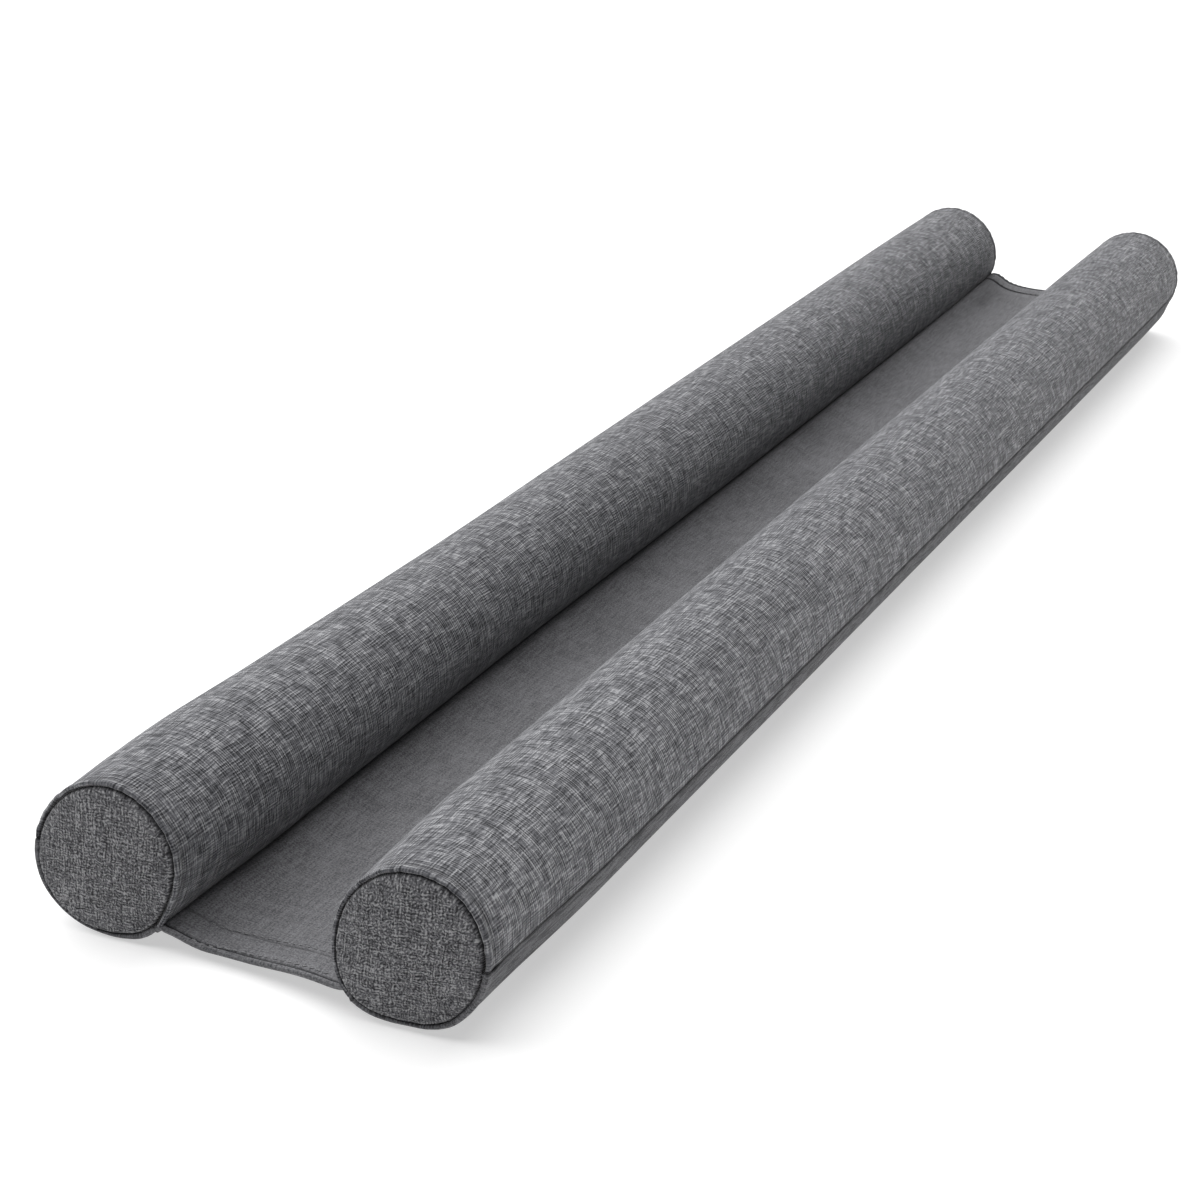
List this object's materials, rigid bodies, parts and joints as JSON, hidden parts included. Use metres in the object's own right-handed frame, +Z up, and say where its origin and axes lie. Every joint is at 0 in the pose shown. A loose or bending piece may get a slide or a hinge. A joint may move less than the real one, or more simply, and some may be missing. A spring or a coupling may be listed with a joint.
{
  "type": "draught excluder",
  "caption": "Twin draught excluder: two filled cloth tubes joined along their length by a plain base cloth, which slides under a door so that a tube lies against each side.",
  "frame": {"origin": "on the floor, in the middle of the underside's bounding box", "axes": "+Y along the tubes towards the end with the raised hem, +X from the left tube to the right tube, +Z up"},
  "size_m": [0.1826, 0.918, 0.0606],
  "materials": {
    "linen_cover": "matt linen-look weave, mid grey with lighter and darker threads",
    "plain_base_cloth": "matt fine plain weave, grey"
  },
  "bodies": {
    "root": {"tube_left": "linen_cover", "tube_right": "linen_cover", "end_disc_left_near": "linen_cover", "end_disc_left_far": "linen_cover", "end_disc_right_near": "linen_cover", "end_disc_right_far": "linen_cover", "base_cloth": "plain_base_cloth"}
  },
  "joints": []
}
